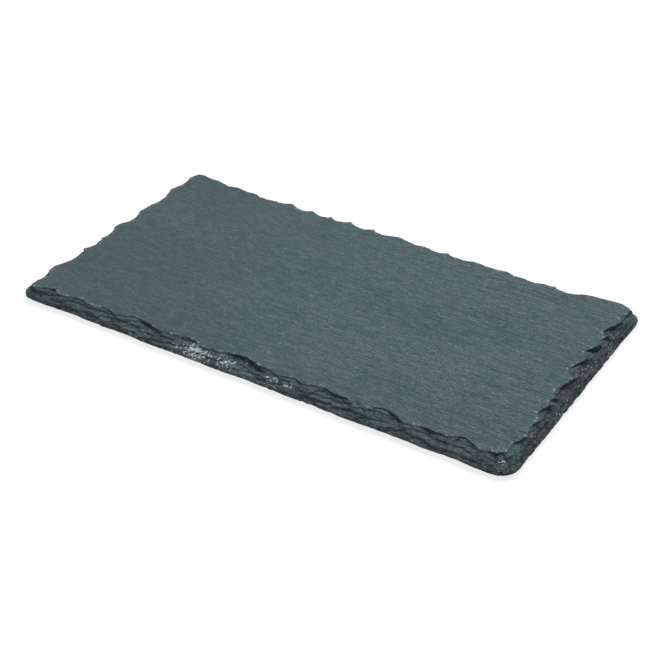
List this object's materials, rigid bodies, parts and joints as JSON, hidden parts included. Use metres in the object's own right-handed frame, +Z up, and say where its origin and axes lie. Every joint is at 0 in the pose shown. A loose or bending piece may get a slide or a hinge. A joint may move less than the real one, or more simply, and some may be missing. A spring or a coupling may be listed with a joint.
{
  "type": "slate serving board",
  "caption": "Flat rectangular slate board with chipped, hand-dressed edges and rounded corners, standing on small round soft feet glued under its corners.",
  "frame": {"origin": "centre of the board on the surface that its feet stand on", "axes": "+Z up out of the serving face, +X along the board's length, -Y towards its front long edge"},
  "size_m": [0.2495, 0.1369, 0.0072],
  "materials": {
    "slate": "riven blue-grey slate, dry and matt, with a faint silky sheen along the split",
    "soft_foot": "matt black soft foot",
    "adhesive": "cream double-sided adhesive film"
  },
  "bodies": {
    "root": {"slate_slab": "slate", "foot_front_left": "soft_foot", "foot_front_right": "soft_foot", "foot_rear_left": "soft_foot", "foot_rear_right": "soft_foot", "adhesive_front_left": "adhesive", "adhesive_front_right": "adhesive", "adhesive_rear_left": "adhesive", "adhesive_rear_right": "adhesive"}
  },
  "joints": []
}
